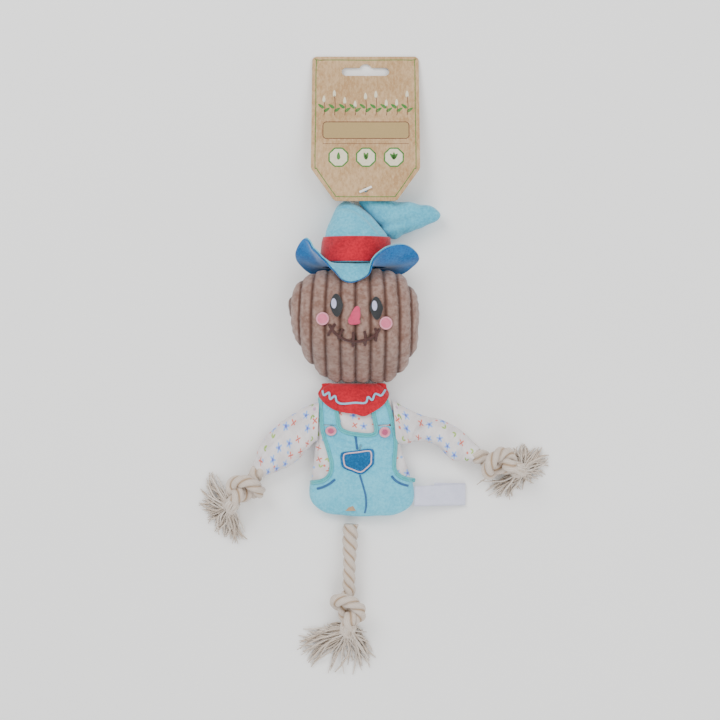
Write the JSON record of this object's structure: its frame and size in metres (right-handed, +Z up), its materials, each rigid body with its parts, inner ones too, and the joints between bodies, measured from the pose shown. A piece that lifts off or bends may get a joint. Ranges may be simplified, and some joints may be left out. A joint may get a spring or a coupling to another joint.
{
  "type": "plush scarecrow rope pet toy",
  "caption": "Plush scarecrow pet toy with a stuffed head, felt hat and padded body, rope arms and leg ending in knots and tassels, tied to a header card with a hanging slot.",
  "frame": {"origin": "middle of the torso's back, on the surface that the toy lies on", "axes": "+Y from the leg towards the hat and the card, +Z up out of the face, +X to the viewer's right"},
  "size_m": [0.24, 0.415, 0.0467],
  "materials": {
    "kraft_card": "uncoated kraft paperboard, printed on one face",
    "nylon": "translucent moulded nylon",
    "sky_felt": "brushed plush felt",
    "navy_felt": "brushed plush felt",
    "red_cloth": "brushed woven cloth",
    "trim_blue": "satin-stitch thread",
    "corduroy": "wide-wale corduroy",
    "fibrefill": "polyester fibre filling",
    "squeaker_plastic": "soft moulded plastic",
    "black_thread": "satin-stitch thread",
    "glint_thread": "satin-stitch thread",
    "rose_thread": "satin-stitch thread",
    "pink_thread": "satin-stitch thread",
    "brown_thread": "satin-stitch thread",
    "floral_cotton": "printed cotton",
    "overall_cloth": "brushed plush cloth",
    "teal_thread": "satin-stitch thread",
    "pocket_cloth": "brushed felt",
    "pale_thread": "running-stitch thread",
    "blue_thread": "satin-stitch thread",
    "cotton_rope": "three-strand laid cotton rope",
    "label_satin": "satin ribbon"
  },
  "bodies": {
    "torso": {"neckerchief": "red_cloth", "neckerchief_trim": "trim_blue", "shirt_front": "floral_cotton", "shirt_back": "floral_cotton", "body_padding": "fibrefill", "shoulder_rope": "cotton_rope", "overalls_front": "overall_cloth", "overalls_back": "overall_cloth", "left_strap": "overall_cloth", "right_strap": "overall_cloth", "left_button": "pink_thread", "right_button": "pink_thread", "bib_edging": "teal_thread", "pocket": "pocket_cloth", "pocket_stitching": "pale_thread", "chest_stitching": "blue_thread", "fly_stitching": "blue_thread", "side_pocket_stitching": "blue_thread", "leg_rope_anchor": "cotton_rope"},
    "head": {"hat_crown": "sky_felt", "hat_tip": "sky_felt", "hat_band": "red_cloth", "hat_brim_top": "sky_felt", "hat_brim_lining": "navy_felt", "hat_stuffing": "fibrefill", "head_front": "corduroy", "head_back": "corduroy", "head_stuffing": "fibrefill", "squeaker": "squeaker_plastic", "left_eye": "black_thread", "right_eye": "black_thread", "left_eye_glint": "glint_thread", "right_eye_glint": "glint_thread", "nose": "rose_thread", "left_cheek": "pink_thread", "right_cheek": "pink_thread", "mouth": "brown_thread", "tag_filament": "nylon"},
    "tag_tie": {"tag_t_bar": "nylon"},
    "card": {"header_card": "kraft_card"},
    "label": {"side_label": "label_satin"},
    "left_arm": {"left_sleeve": "floral_cotton", "left_arm_rope": "cotton_rope"},
    "right_arm": {"right_sleeve": "floral_cotton", "right_arm_rope": "cotton_rope"},
    "left_hand": {"left_hand_rope": "cotton_rope", "left_knot": "cotton_rope", "left_tassel": "cotton_rope"},
    "right_hand": {"right_hand_rope": "cotton_rope", "right_knot": "cotton_rope", "right_tassel": "cotton_rope"},
    "leg": {"leg_rope": "cotton_rope", "leg_knot": "cotton_rope", "leg_tassel": "cotton_rope"}
  },
  "joints": [
    {"name": "head_nod", "type": "hinge", "parent": "torso", "child": "head", "pos_m": [0, 0.0455, 0.009], "axis": [1, 0, 0], "range_deg": [0, 30]},
    {"name": "tag_lift", "type": "hinge", "parent": "head", "child": "tag_tie", "pos_m": [0.0037, 0.1743, 0.018], "axis": [1, 0, 0], "range_deg": [0, 20]},
    {"name": "tag_swing", "type": "hinge", "parent": "tag_tie", "child": "card", "pos_m": [0.0037, 0.1743, 0.018], "axis": [0, 0.1915, 0.9815], "range_deg": [-10, 10]},
    {"name": "label_fold", "type": "hinge", "parent": "torso", "child": "label", "pos_m": [0.03618, -0.0307, 0.009], "axis": [0, -1, 0], "range_deg": [0, 90]},
    {"name": "left_shoulder", "type": "hinge", "parent": "torso", "child": "left_arm", "pos_m": [-0.03942, 0.012, 0.0085], "axis": [0, 0, -1], "range_deg": [-12, 55]},
    {"name": "right_shoulder", "type": "hinge", "parent": "torso", "child": "right_arm", "pos_m": [0.03353, 0.0145, 0.0085], "axis": [0, 0, 1], "range_deg": [-14, 45]},
    {"name": "left_wrist", "type": "hinge", "parent": "left_arm", "child": "left_hand", "pos_m": [-0.06783, -0.01358, 0.0065], "axis": [0, 0, 1], "range_deg": [-30, 30]},
    {"name": "right_wrist", "type": "hinge", "parent": "right_arm", "child": "right_hand", "pos_m": [0.0785, -0.00366, 0.0065], "axis": [0, 0, 1], "range_deg": [-30, 30]},
    {"name": "leg_swing", "type": "hinge", "parent": "torso", "child": "leg", "pos_m": [-0.0062, -0.046, 0.0081], "axis": [0, 0, 1], "range_deg": [-40, 40]}
  ]
}
